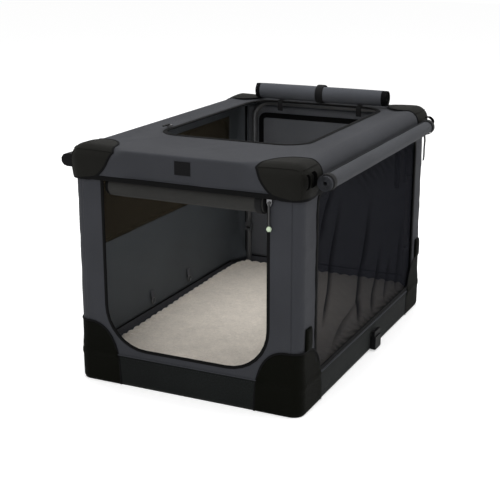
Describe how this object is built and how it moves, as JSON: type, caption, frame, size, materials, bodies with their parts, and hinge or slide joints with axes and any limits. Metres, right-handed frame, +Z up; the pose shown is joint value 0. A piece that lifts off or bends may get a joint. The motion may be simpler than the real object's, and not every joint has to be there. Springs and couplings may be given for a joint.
{
  "type": "folding dog crate",
  "caption": "Soft folding dog crate: cloth cover on a steel tube frame, open doorway and top, mesh side window, rolled and tied covers, fleece mat. The top comes down to fold it flat.",
  "frame": {"origin": "centre of the underside, on the floor", "axes": "+Z up, -Y out of the doorway, +X towards the side with the open mesh window and its rolled cover"},
  "size_m": [0.4728, 0.648, 0.4453],
  "materials": {
    "shell_cloth": "anthracite oxford cloth, plain weave",
    "band_cloth": "coarse dark ballistic cloth",
    "patch_cloth": "black cloth",
    "edging": "black woven binding",
    "net": "black knitted mesh",
    "fleece": "cream fleece with a curly pile",
    "steel_tube": "dark powder coat, satin",
    "plated_steel": "nickel plated",
    "black_plastic": "moulded, fine texture",
    "webbing": "black ribbed webbing",
    "floor_cloth": "black coated cloth over a stiffener",
    "bead_plastic": "pale plastic"
  },
  "bodies": {
    "base": {"floor_panel": "floor_cloth", "mat": "fleece", "base_rail_left": "steel_tube", "base_rail_right": "steel_tube", "base_bar_front": "steel_tube", "base_bar_rear": "steel_tube", "leg_front_left": "steel_tube", "leg_front_right": "steel_tube", "leg_rear_left": "steel_tube", "leg_rear_right": "steel_tube", "base_band_front": "band_cloth", "base_band_rear": "band_cloth", "base_band_left": "band_cloth", "base_band_right": "band_cloth", "front_wall": "shell_cloth", "rear_wall": "shell_cloth", "side_wall_left": "shell_cloth", "side_wall_right": "shell_cloth", "window_net_left": "net", "window_net_right": "net", "window_cover_left": "shell_cloth", "doorway_binding": "edging", "lower_patch_front_left": "patch_cloth", "lower_patch_front_right": "patch_cloth", "lower_patch_rear_left": "patch_cloth", "lower_patch_rear_right": "patch_cloth", "pack_strap": "webbing", "buckle_socket": "black_plastic"},
    "lid": {"top_panel": "shell_cloth", "fascia_front": "shell_cloth", "fascia_rear": "shell_cloth", "top_rail_left": "steel_tube", "top_rail_right": "steel_tube", "upper_patch_front_left": "patch_cloth", "upper_patch_front_right": "patch_cloth", "upper_patch_rear_left": "patch_cloth", "upper_patch_rear_right": "patch_cloth", "top_roll": "shell_cloth", "top_roll_tie": "webbing", "side_roll_right": "shell_cloth", "side_roll_tie_front": "webbing", "side_roll_tie_rear": "webbing", "cover_loop_front_left": "webbing", "cover_loop_rear_left": "webbing", "woven_label": "edging", "door_roll": "net", "door_roll_tie": "webbing", "door_zip_slider": "plated_steel"},
    "front_links": {"link_front_left": "steel_tube", "link_front_right": "steel_tube"},
    "rear_links": {"link_rear_left": "steel_tube", "link_rear_right": "steel_tube"},
    "front_hoop": {"front_hoop": "steel_tube"},
    "rear_hoop": {"rear_hoop": "steel_tube"},
    "door_puller": {"door_zip_puller": "bead_plastic"},
    "top_slider": {"top_zip_slider": "plated_steel"},
    "top_puller": {"top_zip_puller": "black_plastic"},
    "buckle_prong": {"buckle_prong": "black_plastic"}
  },
  "joints": [
    {"name": "lid_drop", "type": "slide", "parent": "base", "child": "lid", "axis": [0, 0, -1], "range_m": [0, 0.268], "deforming": ["front_wall", "rear_wall", "side_wall_left", "side_wall_right", "window_net_left", "window_net_right", "window_cover_left", "doorway_binding"]},
    {"name": "front_link_fold", "type": "hinge", "parent": "base", "child": "front_links", "pos_m": [0, -0.3084, 0.125], "axis": [-1, 0, 0], "range_deg": [0, 90]},
    {"name": "rear_link_fold", "type": "hinge", "parent": "base", "child": "rear_links", "pos_m": [0, 0.3084, 0.125], "axis": [1, 0, 0], "range_deg": [0, 90]},
    {"name": "front_hoop_fold", "type": "hinge", "parent": "lid", "child": "front_hoop", "pos_m": [0, -0.3084, 0.39752], "axis": [1, 0, 0], "range_deg": [0, 90]},
    {"name": "rear_hoop_fold", "type": "hinge", "parent": "lid", "child": "rear_hoop", "pos_m": [0, 0.3084, 0.39752], "axis": [-1, 0, 0], "range_deg": [0, 90]},
    {"name": "door_puller_swing", "type": "hinge", "parent": "lid", "child": "door_puller", "pos_m": [0.1535, -0.3229, 0.352], "axis": [0, 1, 0], "range_deg": [-40, 40]},
    {"name": "top_zip_travel", "type": "slide", "parent": "lid", "child": "top_slider", "axis": [0, 1, 0], "range_m": [0, 0.2]},
    {"name": "top_puller_lift", "type": "hinge", "parent": "top_slider", "child": "top_puller", "pos_m": [-0.1435, -0.1, 0.4151], "axis": [-1, 0, 0], "range_deg": [0, 120]},
    {"name": "buckle_release", "type": "slide", "parent": "base", "child": "buckle_prong", "axis": [0, 0, 1], "range_m": [0, 0.03]}
  ],
  "couplings": [
    {"joint": "front_link_fold", "follows": "lid_drop", "rad_per_m": 5.861},
    {"joint": "rear_link_fold", "follows": "lid_drop", "rad_per_m": 5.861},
    {"joint": "front_hoop_fold", "follows": "lid_drop", "rad_per_m": 5.861},
    {"joint": "rear_hoop_fold", "follows": "lid_drop", "rad_per_m": 5.861}
  ]
}
